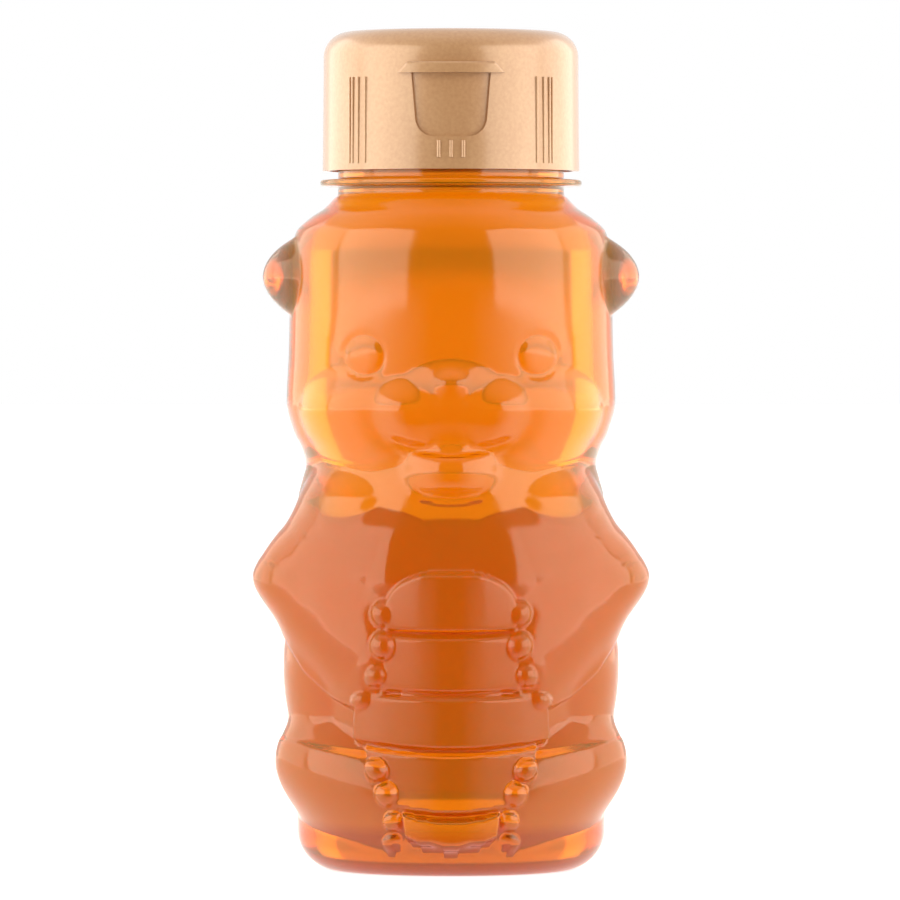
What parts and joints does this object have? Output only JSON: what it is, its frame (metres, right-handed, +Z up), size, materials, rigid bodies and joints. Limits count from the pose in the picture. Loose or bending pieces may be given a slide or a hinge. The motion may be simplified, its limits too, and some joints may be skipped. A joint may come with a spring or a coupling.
{
  "type": "honey bear bottle",
  "caption": "Clear squeeze bottle in the shape of a sitting bear holding a hive, full of honey, with a gold snap-hinge screw cap and a pouring spout",
  "frame": {"origin": "centre of the base's standing plane, on the axis of the neck and the cap", "axes": "+Z up along the neck; the bear's face and the cap's brow look along -Y; +X to the right as seen from the front"},
  "size_m": [0.0608, 0.0461, 0.1313],
  "materials": {
    "bottle_wall": "clear blown polyester, glossy",
    "honey": "clear amber liquid",
    "label_paper": "plain film label, bare",
    "liner_foam": "white foamed washer",
    "cap_gold": "pearly gold moulded plastic, satin"
  },
  "bodies": {
    "bear": {"bottle": "bottle_wall", "honey": "honey", "back_label": "label_paper"},
    "liner": {"cap_liner": "liner_foam"},
    "cap": {"cap_base": "cap_gold", "hinge_film_left": "cap_gold", "hinge_film_right": "cap_gold", "hinge_spring": "cap_gold"},
    "lid": {"cap_lid": "cap_gold"}
  },
  "joints": [
    {"name": "cap_lift", "type": "slide", "parent": "bear", "child": "liner", "axis": [0, 0, 1], "range_m": [0, 0.01692]},
    {"name": "cap_turn", "type": "hinge", "parent": "liner", "child": "cap", "pos_m": [0, 0, 0.1161], "axis": [0, 0, 1], "range_deg": [0, 1440]},
    {"name": "lid_flip", "type": "hinge", "parent": "cap", "child": "lid", "pos_m": [0, 0.0202, 0.12385], "axis": [-1, 0, 0], "range_deg": [0, 170], "deforming": ["hinge_film_left", "hinge_film_right", "hinge_spring"]}
  ],
  "couplings": [
    {"joint": "cap_lift", "follows": "cap_turn", "m_per_rad": 0.00067322}
  ]
}
